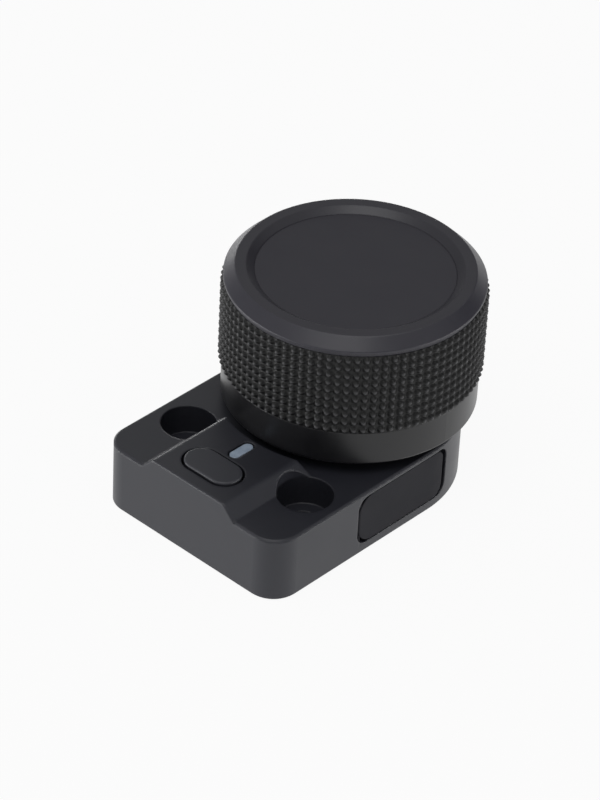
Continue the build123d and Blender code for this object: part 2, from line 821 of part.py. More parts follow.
# Magnet cup on the spindle's stub, and the magnet over the encoder chip
with BuildPart() as magnet_holder:
    with BuildSketch(Plane.XY.offset(magnet_bottom)):
        Circle(holder_radius)
    extrude(amount=holder_top - magnet_bottom)
    with BuildSketch(Plane.XY.offset(magnet_bottom)):
        Circle(magnet_radius + slip_gap)
    extrude(amount=magnet_thickness, mode=Mode.SUBTRACT)
    with BuildSketch(Plane.XY.offset(holder_top)):
        Circle(stub_radius + slip_gap)
    extrude(amount=-holder_socket_depth, mode=Mode.SUBTRACT)
write_piece(magnet_holder, "magnet_holder")

with BuildPart() as encoder_magnet:
    with BuildSketch(Plane.XY.offset(magnet_bottom)):
        Circle(magnet_radius)
    extrude(amount=magnet_thickness)
write_piece(encoder_magnet, "encoder_magnet")

# Wheel core: smooth skirt below, sleeve for the grip, web and hub
with BuildPart() as knob_core:
    with BuildSketch(Plane.XZ):
        with BuildLine():
            Polyline(
                (0, hub_bottom),
                (hub_radius, hub_bottom),
                (hub_radius, web_bottom),
                (knob_bore_radius, web_bottom),
                (knob_bore_radius, skirt_bottom),
                (skirt_radius, skirt_bottom),
                (skirt_radius, grip_bottom),
                (sleeve_radius, grip_bottom),
                (sleeve_radius, grip_top),
                (knob_bore_radius, grip_top),
                (knob_bore_radius, web_top),
                (hub_radius, web_top),
                (hub_radius, hub_top),
                (0, hub_top),
                close=True,
            )
        make_face()
    revolve(axis=Axis.Z)
    fillet(knob_core.faces().sort_by(Axis.Z)[0].edges(), radius=skirt_edge_radius)
    with BuildSketch(Plane.XY.offset(hub_bottom)):
        Circle(spindle_radius + slip_gap)
        with Locations((spindle_radius - spindle_flat_depth + slip_gap, 0)):
            Rectangle(
                spindle_radius,
                2 * hub_radius,
                align=(Align.MIN, Align.CENTER),
                mode=Mode.SUBTRACT,
            )
    extrude(amount=hub_top - hub_bottom, mode=Mode.SUBTRACT)
    with BuildSketch(Plane.XY.offset(web_top)):
        with Locations(*bezel_screw_places):
            Circle(screw_radius + thread_gap)
    extrude(amount=-web_thickness, mode=Mode.SUBTRACT)
write_piece(knob_core, "knob_core")


def grip_point(row, column, radius):
    """Point of the grip's surface; rows count upwards and columns round the wheel."""
    angle = 2 * pi * column / nub_columns
    return Vector(radius * cos(angle), radius * sin(angle), grip_bottom + row * nub_pitch)


def grip_skin():
    """Faces of the grip: a four-sided nub in each cell of a square grid, and a flat cap at each end."""
    skin = []
    for row in range(nub_rows):
        for column in range(nub_columns):
            tip = grip_point(row + nub_tip_share, column + nub_tip_share, grip_tip_radius)
            cell = ((0, 0), (0, 1), (1, 1), (1, 0))
            corners = [grip_point(row + up, column + along, grip_root_radius) for up, along in cell]
            for start, end in zip(corners, corners[1:] + corners[:1]):
                skin.append(Face(Wire.make_polygon([start, end, tip])))
    for row in (0, nub_rows):
        ring = [grip_point(row, column, grip_root_radius) for column in range(nub_columns)]
        skin.append(Face(Wire.make_polygon(ring)))
    return skin


# Grip: a moulded band of nubs that slides over the sleeve from above
with BuildPart() as grip_ring:
    add(Solid(Shell(grip_skin())))
    with BuildSketch(Plane.XY.offset(grip_bottom - cut_overrun)):
        Circle(sleeve_radius + slip_gap)
    extrude(amount=grip_top - grip_bottom + 2 * cut_overrun, mode=Mode.SUBTRACT)
write_piece(grip_ring, "grip_ring")

# Bezel: the chamfered rim on a short neck, with a flange that is screwed to the web
with BuildPart() as top_bezel:
    with BuildSketch(Plane.XZ) as bezel_profile:
        with BuildLine():
            Polyline(
                (bezel_flange_inner_radius, web_top),
                (knob_bore_radius - slip_gap, web_top),
                (knob_bore_radius - slip_gap, grip_top),
                (grip_root_radius, grip_top),
                (grip_root_radius, lip_bottom),
                (lip_radius, lip_bottom),
                (lip_radius, chamfer_bottom),
                (rim_flat_radius, rim_top),
                (recess_radius, rim_top),
                (plate_radius + slip_gap, plate_top),
                (plate_radius + slip_gap, plate_bottom),
                (bezel_bore_radius, plate_bottom),
                (bezel_bore_radius, flange_top),
                (bezel_flange_inner_radius, flange_top),
                close=True,
            )
        make_face()
        fillet(bezel_profile.vertices().group_by(Axis.X)[-1], radius=lip_edge_radius)
        fillet(bezel_profile.vertices().group_by(Axis.Y)[-1], radius=rim_edge_radius)
    revolve(axis=Axis.Z)
    with BuildSketch(Plane.XY.offset(web_top)):
        with Locations(*bezel_screw_places):
            Circle(screw_radius + slip_gap)
    extrude(amount=bezel_flange_thickness, mode=Mode.SUBTRACT)
write_piece(top_bezel, "top_bezel")
small_screws("bezel_screws", bezel_screw_places, flange_top, 1, bezel_screw_length)

# Top plate: a disc in the bezel's recess, over the screws
with BuildPart() as top_plate:
    with BuildSketch(Plane.XY.offset(plate_bottom)):
        Circle(plate_radius)
    extrude(amount=plate_thickness)
    fillet(top_plate.faces().sort_by(Axis.Z)[-1].edges(), radius=skirt_edge_radius / 2)
write_piece(top_plate, "top_plate")

# Screw that clamps the wheel to the spindle
cap_screws(
    "knob_screw",
    [(0, 0)],
    hub_top,
    1,
    knob_screw_length,
    knob_screw_radius,
    knob_screw_head_radius,
    knob_screw_head_height,
    (knob_screw_socket_width, knob_screw_socket_depth),
)
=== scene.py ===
# %% [markdown]
# # A hand wheel for focus
#
# The object is a small rotary control: a knurled wheel on a flat housing that two screws
# hold to a camera support. The CAD pieces already have their real sizes, so this lesson
# gives them finishes, makes two pieces finer than CAD has them (the knurled grip and the
# disc on top), and sets up a plain studio. Everything is in metres, in the frame of the CAD
# model: the wheel turns about Z, the housing stands on Z = 0 and its front looks along -Y.

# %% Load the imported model
import json
from math import cos, hypot, pi, radians, sin

import bmesh
import bpy
from mathutils import Matrix, Vector


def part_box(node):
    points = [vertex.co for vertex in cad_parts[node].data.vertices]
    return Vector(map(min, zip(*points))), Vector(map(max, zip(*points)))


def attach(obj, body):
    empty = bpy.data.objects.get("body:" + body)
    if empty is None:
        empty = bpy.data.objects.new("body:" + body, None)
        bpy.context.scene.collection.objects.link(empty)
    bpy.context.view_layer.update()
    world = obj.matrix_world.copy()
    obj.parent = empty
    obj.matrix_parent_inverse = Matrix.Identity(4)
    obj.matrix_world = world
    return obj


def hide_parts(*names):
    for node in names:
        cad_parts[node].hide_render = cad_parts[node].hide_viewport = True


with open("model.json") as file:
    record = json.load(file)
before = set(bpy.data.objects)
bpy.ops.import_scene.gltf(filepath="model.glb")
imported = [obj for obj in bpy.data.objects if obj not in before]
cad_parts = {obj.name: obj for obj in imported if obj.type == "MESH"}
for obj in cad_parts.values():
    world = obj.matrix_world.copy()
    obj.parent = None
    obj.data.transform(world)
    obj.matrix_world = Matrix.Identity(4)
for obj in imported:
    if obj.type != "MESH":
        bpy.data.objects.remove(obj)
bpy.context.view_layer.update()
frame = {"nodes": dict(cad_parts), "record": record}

MM = 0.001
scene = bpy.context.scene

# %% [markdown]
# ## The camera
#
# A product photograph is taken with a long lens from well back, which keeps parallel edges
# nearly parallel. Blender can aim a camera with a constraint, but a rotation matrix built
# from three plain directions is exact and easy to read: where the camera looks from, which
# way is right, and which way is up. A small roll and two small sidesteps then place the
# object in the frame.

# %% Camera at the photograph's viewing angle
CAMERA_AZIMUTH = radians(41.75)
CAMERA_ELEVATION = radians(36.41)
CAMERA_ROLL = radians(2.97)
CAMERA_DISTANCE = 582.0 * MM
CAMERA_SIDESTEP = -6.82 * MM
CAMERA_RISE = 8.41 * MM
CAMERA_LENS = 171.3


def direction_to(azimuth, elevation):
    """The direction at an azimuth from -Y towards +X and an elevation, both in radians."""
    return Vector((
        sin(azimuth) * cos(elevation),
        -cos(azimuth) * cos(elevation),
        sin(elevation),
    ))


toward_camera = direction_to(CAMERA_AZIMUTH, CAMERA_ELEVATION)
camera_right = Matrix.Rotation(CAMERA_ROLL, 3, toward_camera) @ Vector(
    (cos(CAMERA_AZIMUTH), sin(CAMERA_AZIMUTH), 0)
)
camera_up = toward_camera.cross(camera_right)
camera_place = (
    toward_camera * CAMERA_DISTANCE + camera_right * CAMERA_SIDESTEP + camera_up * CAMERA_RISE
)

camera_data = bpy.data.cameras.new("photo_camera")
camera_data.lens = CAMERA_LENS
camera = bpy.data.objects.new("photo_camera", camera_data)
camera_turn = Matrix((camera_right, camera_up, toward_camera)).transposed()
camera.matrix_world = Matrix.Translation(camera_place) @ camera_turn.to_4x4()
scene.collection.objects.link(camera)
scene.camera = camera
print("camera stands at", [round(value, 3) for value in camera_place])

# %% [markdown]
# ## The studio
#
# Dark satin surfaces show their lights more than their colour, so the lamps are placed by
# what each face mirrors. Three low, wide strips graze past the object: they light the
# upright faces and draw thin bright lines along the edges, and leave what looks up alone.
# A soft box high above the camera lights the faces that look up. In reflections the
# surround is white at the horizon, dark just above it, most of all to the right, and paler
# overhead, as in a room with a lit sweep. To the camera it is plain white. The floor is
# white too, and still takes the object's shadow.

# %% Lamps
LAMP_AIM = Vector((0, -8 * MM, 14 * MM))
LAMPS = (
    # name, azimuth and elevation in degrees, distance, width and height in metres, watts
    ("left_strip", -38, 0.4, 0.6, 0.5, 0.034, 1.85),
    ("back_left_strip", -130, 0.4, 0.6, 0.5, 0.034, 0.5),
    ("right_strip", 118, 0.4, 0.6, 0.5, 0.034, 1.2),
    ("top_softbox", 25, 69, 0.8, 0.55, 0.55, 1.75),
)


def soft_lamp(name, azimuth, elevation, distance, width, height, power):
    """A rectangular lamp that looks at the middle of the object."""
    direction = direction_to(radians(azimuth), radians(elevation))
    lamp = bpy.data.lights.new(name, "AREA")
    lamp.shape = "RECTANGLE"
    lamp.size, lamp.size_y = width, height
    lamp.energy = power
    holder = bpy.data.objects.new(name, lamp)
    holder.location = LAMP_AIM + direction * distance
    holder.rotation_euler = direction.to_track_quat("Z", "Y").to_euler()
    scene.collection.objects.link(holder)


scene.view_settings.view_transform = "Standard"
for lamp_values in LAMPS:
    soft_lamp(*lamp_values)
print(len(LAMPS), "lamps")


# %% Helpers for node trees
def math_node(tree, operation, first, second=None, clamp=False):
    """A math node fed by sockets or plain numbers; returns its result."""
    node = tree.nodes.new("ShaderNodeMath")
    node.operation = operation
    node.use_clamp = clamp
    for socket, value in zip(node.inputs, (first, second)):
        if isinstance(value, bpy.types.NodeSocket):
            tree.links.new(value, socket)
        elif value is not None:
            socket.default_value = value
    return node.outputs[0]


def mixed_colour(tree, factor, first, second):
    """A colour that goes from first to second with a factor; each is a socket or a colour."""
    mix = tree.nodes.new("ShaderNodeMix")
    mix.data_type = "RGBA"
    tree.links.new(factor, mix.inputs["Factor"])
    for socket, colour in zip((mix.inputs[6], mix.inputs[7]), (first, second)):
        if isinstance(colour, bpy.types.NodeSocket):
            tree.links.new(colour, socket)
        else:
            socket.default_value = (*colour, 1)
    return mix.outputs[2]


def mixed_shader(tree, factor, first, second):
    """A shader that goes from first to second with a factor."""
    mix = tree.nodes.new("ShaderNodeMixShader")
    for socket, source in zip(mix.inputs, (factor, first, second)):
        tree.links.new(source, socket)
    return mix.outputs[0]


def ray_kinds(tree):
    """Two masks: rays from the camera, and those together with mirrored and refracted rays."""
    light_path = tree.nodes.new("ShaderNodeLightPath")
    from_camera = light_path.outputs["Is Camera Ray"]
    seen = math_node(tree, "MAXIMUM", from_camera, light_path.outputs["Is Glossy Ray"])
    return from_camera, math_node(tree, "MAXIMUM", seen, light_path.outputs["Is Transmission Ray"])


print("helpers for math, mixed colours, mixed shaders and kinds of rays")

# %% The surround
FILL_STRENGTH = 0.3
# Brightness in reflections by height, from the horizon at 0 to straight up at 1
LEFT_HALF = ((0, 1), (0.1, 0.25), (0.35, 0.25), (0.6, 0.55), (1, 0.55))
RIGHT_HALF = ((0, 1), (0.1, 0.02), (0.4, 0.02), (0.6, 0.55), (1, 0.55))
# Where along X the one goes over into the other
LEFT_HALF_UP_TO = -0.6
RIGHT_HALF_FROM = -0.2

world = bpy.data.worlds.new("pale_surround")
scene.world = world
world.use_nodes = True
sky = world.node_tree
sky.nodes.clear()
looking = sky.nodes.new("ShaderNodeTexCoord")
looking_parts = sky.nodes.new("ShaderNodeSeparateXYZ")
sky.links.new(looking.outputs["Generated"], looking_parts.inputs[0])


def brightness_by_height(stops):
    """A ramp over the height of a direction, from pairs of height and brightness."""
    ramp = sky.nodes.new("ShaderNodeValToRGB")
    for position, _ in stops[1:-1]:
        ramp.color_ramp.elements.new(position)
    for element, (_, brightness) in zip(ramp.color_ramp.elements, stops):
        element.color = (brightness, brightness, brightness, 1)
    sky.links.new(looking_parts.outputs["Z"], ramp.inputs["Fac"])
    return ramp.outputs["Color"]


to_the_right = sky.nodes.new("ShaderNodeMapRange")
to_the_right.inputs["From Min"].default_value = LEFT_HALF_UP_TO
to_the_right.inputs["From Max"].default_value = RIGHT_HALF_FROM
sky.links.new(looking_parts.outputs["X"], to_the_right.inputs["Value"])
left_half, right_half = brightness_by_height(LEFT_HALF), brightness_by_height(RIGHT_HALF)
mirrored = mixed_colour(sky, to_the_right.outputs["Result"], left_half, right_half)

from_camera, seen = ray_kinds(sky)
fill = sky.nodes.new("ShaderNodeBackground")
white = sky.nodes.new("ShaderNodeBackground")
for background in (fill, white):
    background.inputs["Color"].default_value = (1, 1, 1, 1)
fill.inputs["Strength"].default_value = FILL_STRENGTH
sky.links.new(math_node(sky, "MAXIMUM", mirrored, from_camera), white.inputs["Strength"])
surround = mixed_shader(sky, seen, fill.outputs[0], white.outputs[0])
sky.links.new(surround, sky.nodes.new("ShaderNodeOutputWorld").inputs["Surface"])
print("surround:", len(sky.nodes), "nodes")

# %% The floor
FLOOR_REACH = 2.0
FLOOR_COLOUR = (0.95, 0.95, 0.95, 1)
FLOOR_GLOW_SHARE = 0.93

floor_mesh = bpy.data.meshes.new("floor")
floor_mesh.from_pydata(
    [(x * FLOOR_REACH, y * FLOOR_REACH, 0) for x, y in ((-1, -1), (1, -1), (1, 1), (-1, 1))],
    [],
    [(0, 1, 2, 3)],
)
floor = bpy.data.objects.new("floor", floor_mesh)
scene.collection.objects.link(floor)

floor_material = bpy.data.materials.new("white_sweep")
floor_material.use_nodes = True
sweep = floor_material.node_tree
sweep.nodes.clear()
matt = sweep.nodes.new("ShaderNodeBsdfDiffuse")
matt.inputs["Color"].default_value = FLOOR_COLOUR
glow = sweep.nodes.new("ShaderNodeEmission")
_, seen = ray_kinds(sweep)
glow_share = math_node(sweep, "MULTIPLY", seen, FLOOR_GLOW_SHARE)
floor_shader = mixed_shader(sweep, glow_share, matt.outputs[0], glow.outputs[0])
sweep.links.new(floor_shader, sweep.nodes.new("ShaderNodeOutputMaterial").inputs["Surface"])
floor_mesh.materials.append(floor_material)
print("floor:", 2 * FLOOR_REACH, "m square")

# %% [markdown]
# ## Effects that several finishes share
#
# Moulded, painted and anodised surfaces all have a fine grain, and all of them catch light
# on their edges. Building such an effect inside every material would repeat it many times,
# so each one is a node group: a small graph with named inputs and outputs that a material
# uses like any other node. A group only works out values over the surface. The shader that
# uses them stays in the material. The group for edges puts out a mask that lightens the
# colour along edges, partly as wear and partly as a painted highlight. No real edge is
# perfectly sharp, so the group for edges also puts out a normal that rounds them over a small
# width and lets them catch a lamp.


# %% Helpers for node groups
def new_group(name, inputs, outputs):
    """An empty shader group with value sockets; returns its tree, its input and its output node."""
    tree = bpy.data.node_groups.new(name, "ShaderNodeTree")
    for socket_name, default in inputs:
        socket = tree.interface.new_socket(socket_name, in_out="INPUT", socket_type="NodeSocketFloat")
        socket.default_value = default
    for socket_name in outputs:
        tree.interface.new_socket(socket_name, in_out="OUTPUT", socket_type="NodeSocketFloat")
    return tree, tree.nodes.new("NodeGroupInput"), tree.nodes.new("NodeGroupOutput")


def noise_over(tree, size, detail):
    """Noise in object space whose bumps are about size metres wide; returns its value."""
    place = tree.nodes.new("ShaderNodeTexCoord")
    noise = tree.nodes.new("ShaderNodeTexNoise")
    noise.inputs["Detail"].default_value = detail
    tree.links.new(place.outputs["Object"], noise.inputs["Vector"])
    tree.links.new(math_node(tree, "DIVIDE", 1.0, size), noise.inputs["Scale"])
    return noise.outputs["Fac"]


print("helpers for new groups and noise")

# %% Fine grain: the bead-blasted or moulded texture, and slow cloudy changes of tone
GRAIN_SIZE, GRAIN_DETAIL = 0.15 * MM, 2
CLOUD_SIZE, CLOUD_DETAIL = 6 * MM, 3

grain, grain_in, grain_out = new_group(
    "fine_grain", (("Grain Size", GRAIN_SIZE), ("Cloud Size", CLOUD_SIZE)), ("Height", "Cloud")
)
grain_height = noise_over(grain, grain_in.outputs["Grain Size"], GRAIN_DETAIL)
grain.links.new(grain_height, grain_out.inputs["Height"])
cloud = noise_over(grain, grain_in.outputs["Cloud Size"], CLOUD_DETAIL)
grain.links.new(cloud, grain_out.inputs["Cloud"])
print("fine grain:", len(grain.nodes), "nodes")

# %% Edges with wear and a painted highlight: a mask that is 1 along a sharp edge, partly where it is handled and partly where it catches light, broken up by noise
EDGE_WIDTH = 0.25 * MM
EDGE_SAMPLES = 6
EDGE_GAIN = 4.0
BREAK_SIZE, BREAK_DETAIL = 1.2 * MM, 3

rubbed_and_highlight, rubbed_and_highlight_in, rubbed_and_highlight_out = new_group(
    "rubbed_edges_with_highlight", (("Width", EDGE_WIDTH), ("Break Size", BREAK_SIZE)), ("Mask",)
)
rubbed_and_highlight.interface.new_socket("Normal", in_out="OUTPUT", socket_type="NodeSocketVector")
rounded = rubbed_and_highlight.nodes.new("ShaderNodeBevel")
rounded.samples = EDGE_SAMPLES
rubbed_and_highlight.links.new(rubbed_and_highlight_in.outputs["Width"], rounded.inputs["Radius"])
surface = rubbed_and_highlight.nodes.new("ShaderNodeNewGeometry")
agreement = rubbed_and_highlight.nodes.new("ShaderNodeVectorMath")
agreement.operation = "DOT_PRODUCT"
rubbed_and_highlight.links.new(rounded.outputs["Normal"], agreement.inputs[0])
rubbed_and_highlight.links.new(surface.outputs["Normal"], agreement.inputs[1])
bend = math_node(rubbed_and_highlight, "SUBTRACT", 1.0, agreement.outputs["Value"])
edge_mask = math_node(rubbed_and_highlight, "MULTIPLY", bend, EDGE_GAIN, clamp=True)
break_up = noise_over(rubbed_and_highlight, rubbed_and_highlight_in.outputs["Break Size"], BREAK_DETAIL)
rubbed_and_highlight.links.new(math_node(rubbed_and_highlight, "MULTIPLY", edge_mask, break_up), rubbed_and_highlight_out.inputs["Mask"])
rubbed_and_highlight.links.new(rounded.outputs["Normal"], rubbed_and_highlight_out.inputs["Normal"])
print("rubbed edges:", len(rubbed_and_highlight.nodes), "nodes")

# %% Turned rings: the fine marks that a lathe leaves round the wheel's axis
RING_PITCH, RING_DETAIL = 0.12 * MM, 1


def object_axes(tree):
    """The X, Y and Z of the object's own frame."""
    place = tree.nodes.new("ShaderNodeTexCoord")
    parts = tree.nodes.new("ShaderNodeSeparateXYZ")
    tree.links.new(place.outputs["Object"], parts.inputs[0])
    return parts.outputs


def axis_distance(tree):
    """Distance from the wheel's axis."""
    x, y, _ = object_axes(tree)
    x_squared, y_squared = (math_node(tree, "MULTIPLY", value, value) for value in (x, y))
    return math_node(tree, "SQRT", math_node(tree, "ADD", x_squared, y_squared))


turned, turned_in, turned_out = new_group("turned_rings", (("Pitch", RING_PITCH),), ("Height",))
along = math_node(turned, "ADD", axis_distance(turned), object_axes(turned)["Z"])
ring = turned.nodes.new("ShaderNodeTexNoise")
ring.noise_dimensions = "1D"
ring.inputs["Detail"].default_value = RING_DETAIL
ring.inputs["Scale"].default_value = 1.0
turned.links.new(math_node(turned, "DIVIDE", along, turned_in.outputs["Pitch"]), ring.inputs["W"])
turned.links.new(ring.outputs["Fac"], turned_out.inputs["Height"])
print("turned rings:", len(turned.nodes), "nodes")

# %% Contact strips: a mask of narrow stripes on the broad sides of the socket's tongue
STRIP_PITCH = 0.5 * MM
STRIP_HALF_SHARE = 0.28
STRIP_SETBACK = 0.4 * MM
BROAD_SIDE_SHARE = 0.95

tongue_low, tongue_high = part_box("usb_tongue")
tongue_middle = (tongue_low[2] + tongue_high[2]) / 2
tongue_half_thickness = (tongue_high[2] - tongue_low[2]) / 2
strips, strips_in, strips_out = new_group("contact_strips", (("Pitch", STRIP_PITCH),), ("Mask",))
x, y, z = object_axes(strips)
place_in_row = math_node(strips, "SUBTRACT", y, tongue_low[1])
pitches = math_node(strips, "DIVIDE", place_in_row, strips_in.outputs["Pitch"])
phase = math_node(strips, "FRACT", pitches)
off_middle = math_node(strips, "ABSOLUTE", math_node(strips, "SUBTRACT", phase, 0.5))
on_strip = math_node(strips, "LESS_THAN", off_middle, STRIP_HALF_SHARE)
behind_tip = math_node(strips, "LESS_THAN", x, tongue_high[0] - STRIP_SETBACK)
off_centre = math_node(strips, "ABSOLUTE", math_node(strips, "SUBTRACT", z, tongue_middle))
broad_side_height = BROAD_SIDE_SHARE * tongue_half_thickness
on_broad_side = math_node(strips, "GREATER_THAN", off_centre, broad_side_height)
on_tongue = math_node(strips, "MULTIPLY", behind_tip, on_broad_side)
strips.links.new(math_node(strips, "MULTIPLY", on_strip, on_tongue), strips_out.inputs["Mask"])
print("node groups:", [group.name for group in bpy.data.node_groups])

# %% [markdown]
# ## Finishes
#
# Every finish here is one recipe with different values: a colour that drifts slightly with
# the cloudy noise, edges a little lighter, partly as wear where they are handled and partly
# as a painted highlight, a roughness that varies with the same noise, and a bump from the
# grain or from lathe marks. One function builds the graph, and a short call per finish sets
# it. What is the same all over a surface, such as metalness or sheen, is set on the shader's
# own socket. Most pieces take the finish of their material slot. The rim is of the same
# black anodised metal as the rest of the wheel but is painted a lighter grey, as painted
# light on the top of the wheel. The collar that shows in the gap under the wheel is painted
# as black as the wheel, as painted shade in that gap. The socket's tongue carries contact
# strips. So those three have their own.

# %% The recipe
CLOUD_LOW, CLOUD_HIGH = 0.3, 0.7
finishes = {}


def placed_group(tree, group, **values):
    """A node group placed in a material with its own values."""
    node = tree.nodes.new("ShaderNodeGroup")
    node.node_tree = group
    for name, value in values.items():
        node.inputs[name.replace("_", " ").title()].default_value = value
    return node


def finish(
    name, dark, light, edge, roughness, bump,
    grain_size=GRAIN_SIZE, cloud_size=CLOUD_SIZE, rings=None,
    edge_group=rubbed_and_highlight, edge_width=None, **shader,
):
    """Add a material whose colour drifts from dark to light and takes the edge colour where a mask
    says.

    roughness is a (low, high) pair, bump a depth in metres, and rings a lathe pitch in metres
    or None. edge_group puts out the mask for the edge colour, which by default marks edges with
    wear and a painted highlight, and edge_width sets how wide those edges are. shader holds
    plain values for the shader's own sockets.
    """
    material = bpy.data.materials.new(name)
    material.use_nodes = True
    tree = material.node_tree
    principled = tree.nodes["Principled BSDF"]
    for socket_name, value in shader.items():
        principled.inputs[socket_name.replace("_", " ")].default_value = value

    texture = placed_group(tree, grain, grain_size=grain_size, cloud_size=cloud_size)
    edge_values = {"width": edge_width} if edge_width else {}
    edge_layer = placed_group(tree, edge_group, **edge_values)
    drift = mixed_colour(tree, texture.outputs["Cloud"], dark, light)
    colour = mixed_colour(tree, edge_layer.outputs["Mask"], drift, edge)
    tree.links.new(colour, principled.inputs["Base Color"])

    shine = tree.nodes.new("ShaderNodeMapRange")
    shine.inputs["From Min"].default_value = CLOUD_LOW
    shine.inputs["From Max"].default_value = CLOUD_HIGH
    shine.inputs["To Min"].default_value, shine.inputs["To Max"].default_value = roughness
    tree.links.new(texture.outputs["Cloud"], shine.inputs["Value"])
    tree.links.new(shine.outputs["Result"], principled.inputs["Roughness"])

    relief = tree.nodes.new("ShaderNodeBump")
    relief.inputs["Distance"].default_value = bump
    source = placed_group(tree, turned, pitch=rings) if rings else texture
    tree.links.new(source.outputs["Height"], relief.inputs["Height"])
    if "Normal" in edge_layer.outputs:
        tree.links.new(edge_layer.outputs["Normal"], relief.inputs["Normal"])
    tree.links.new(relief.outputs["Normal"], principled.inputs["Normal"])
    finishes[name] = material


print("the recipe takes its grain from", grain.name, "and its edges from", rubbed_and_highlight.name)


# %% Colours as a screen shows them
def shade(value):
    """The linear value of a screen brightness from 0 to 255."""
    share = value / 255
    return share / 12.92 if share <= 0.04045 else ((share + 0.055) / 1.055) ** 2.4


def tint(red, green, blue):
    """A colour written as screen values from 0 to 255."""
    return shade(red), shade(green), shade(blue)


print("a screen grey of 50 is", round(shade(50), 4), "in linear light")

# %% Finishes of the outside
finish(
    "housing_paint", tint(39, 40, 47), tint(43, 44, 51), tint(49, 50, 58),
    roughness=(0.38, 0.45), bump=0.006 * MM, edge_width=0.4 * MM,
)
finish(
    "cover_plastic", tint(42, 43, 45), tint(47, 48, 50), tint(60, 61, 63),
    roughness=(0.5, 0.6), bump=0.01 * MM, grain_size=0.25 * MM,
)
finish(
    "wheel_metal", tint(14, 14, 17), tint(18, 18, 21), tint(32, 32, 36),
    roughness=(0.29, 0.36), bump=0.003 * MM, grain_size=0.1 * MM,
)
# The rim: the wheel's own black anodised metal painted a lighter grey, as painted light on the top of
# the wheel
finish(
    "rim_metal_painted_light", tint(45, 44, 52), tint(49, 48, 56), tint(55, 54, 62),
    roughness=(0.34, 0.42), bump=0.003 * MM, grain_size=0.1 * MM,
)
finish(
    "plate_metal", tint(46, 45, 53), tint(50, 49, 57), tint(54, 53, 61),
    roughness=(0.48, 0.56), bump=0.004 * MM, grain_size=0.12 * MM,
)
finish(
    "button_plastic", tint(53, 54, 60), tint(57, 58, 64), tint(62, 63, 69),
    roughness=(0.45, 0.52), bump=0.006 * MM,
)
finish(
    "port_rubber", tint(42, 42, 46), tint(46, 46, 50), tint(51, 51, 55),
    roughness=(0.62, 0.7), bump=0.008 * MM, grain_size=0.2 * MM, Specular_IOR_Level=0.12,
)
# The light pipe: blue-grey, with lighter patches from the small noise that are painted highlights
finish(
    "clear_pipe", tint(132, 150, 170), tint(188, 202, 220), tint(215, 225, 238),
    roughness=(0.3, 0.38), bump=0.001 * MM, cloud_size=0.8 * MM,
)
print(len(finishes), "finishes of the outside")

# %% Finishes of the inside
finish(
    "emitter", tint(225, 222, 190), tint(235, 232, 205), tint(240, 240, 225),
    roughness=(0.3, 0.4), bump=0.001 * MM,
)
finish(
    "black_plastic", tint(34, 34, 35), tint(39, 39, 40), tint(52, 52, 53),
    roughness=(0.45, 0.55), bump=0.005 * MM,
)
finish(
    "tongue_plastic", tint(34, 34, 35), tint(39, 39, 40), tint(212, 170, 96),
    roughness=(0.35, 0.45), bump=0.003 * MM, edge_group=strips,
)
finish(
    "chip", tint(28, 28, 30), tint(33, 33, 35), tint(46, 46, 48),
    roughness=(0.5, 0.6), bump=0.004 * MM, grain_size=0.08 * MM,
)
finish(
    "board", tint(24, 92, 60), tint(28, 102, 68), tint(150, 140, 90),
    roughness=(0.3, 0.42), bump=0.004 * MM, grain_size=0.5 * MM,
)
finish(
    "gold_contacts", tint(212, 170, 96), tint(224, 184, 112), tint(238, 204, 140),
    roughness=(0.22, 0.3), bump=0.002 * MM, Metallic=1.0,
)
finish(
    "socket_metal", tint(186, 188, 190), tint(200, 202, 204), tint(222, 223, 224),
    roughness=(0.24, 0.34), bump=0.002 * MM, Metallic=1.0,
)
finish(
    "bearing_steel", tint(190, 192, 194), tint(204, 206, 208), tint(226, 227, 228),
    roughness=(0.16, 0.26), bump=0.001 * MM, rings=0.08 * MM, Metallic=1.0,
)
finish(
    "screw_steel", tint(60, 60, 62), tint(70, 70, 72), tint(120, 120, 122),
    roughness=(0.3, 0.4), bump=0.002 * MM, Metallic=1.0,
)
finish(
    "magnet", tint(196, 196, 200), tint(208, 208, 212), tint(224, 224, 228),
    roughness=(0.14, 0.2), bump=0.001 * MM, Metallic=1.0,
)
print(len(finishes), "finishes with those of the inside")

# %% Each CAD piece gets its finish
OWN_FINISHES = {
    # The rim takes a lighter copy of the wheel's metal: painted light
    "top_bezel": "rim_metal_painted_light",
    # The collar is painted as black as the wheel: painted shade for the gap under the wheel
    "bearing_carrier": "wheel_metal",
    "usb_tongue": "tongue_plastic",
}
finished = 0
for subpart in frame["record"]["subparts"]:
    piece_finish = finishes.get(OWN_FINISHES.get(subpart["node"], subpart["material_slot"]))
    if piece_finish:
        node_mesh = frame["nodes"][subpart["node"]].data
        node_mesh.materials.clear()
        node_mesh.materials.append(piece_finish)
        finished += 1
print(finished, "CAD pieces have a finish")

# %% [markdown]
# ## The knurled grip
#
# The band that the fingers turn is rubber with small round nubs in a square grid, and
# pits between them. In the CAD model each nub is four flat triangles. Array modifiers could
# repeat one nub, and a displacement texture could push a smooth band out, but both leave
# seams or soft shapes. A formula for the height over one square cell gives every nub the
# same crisp tip, and the whole band stays one closed mesh. A mask by distance from the axis
# paints the tips lighter than the pits: a painted highlight on the tips and painted shade in
# the pits.

# %% Height over one cell of the knurl
NUB_ROWS = 10
NUB_COLUMNS = 90
NUB_HEIGHT = 0.6 * MM
NUB_SHARPNESS = 1.5
STEPS_PER_NUB = 10


def nub_rise(across, up):
    """Share of the full nub height at a place in a cell, with both coordinates from -1 to 1."""
    from_tip = min(hypot(across, up), 1)
    return (1 - from_tip ** 2) ** NUB_SHARPNESS


def cell_coordinate(step):
    """Place within a nub's cell, from -1 to 1, of a step along the band."""
    return 2 * (step % STEPS_PER_NUB) / STEPS_PER_NUB - 1


